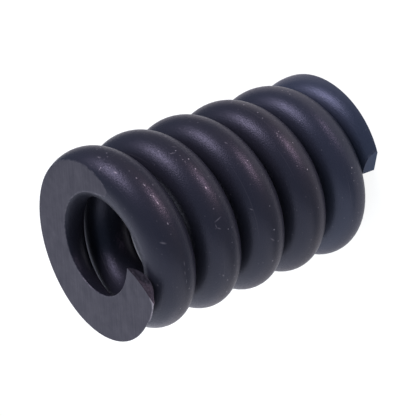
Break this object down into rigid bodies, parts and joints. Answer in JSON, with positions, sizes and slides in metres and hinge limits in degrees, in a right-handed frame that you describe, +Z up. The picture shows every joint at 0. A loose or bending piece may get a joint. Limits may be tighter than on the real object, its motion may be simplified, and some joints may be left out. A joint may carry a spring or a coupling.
{
  "type": "compression spring",
  "caption": "Short, heavy coil spring of round black steel wire, right-hand wound, ends closed and ground flat; sits over the rod of a loader's quick attach lever and presses it home.",
  "frame": {"origin": "middle of the lower ground end, on the coil's axis", "axes": "+Z up the coil's axis, +X towards the tip of the wire at the upper end"},
  "size_m": [0.0414, 0.0414, 0.064],
  "materials": {
    "blackened_spring_steel": "satin"
  },
  "bodies": {
    "root": {"coil_spring": "blackened_spring_steel"}
  },
  "joints": []
}
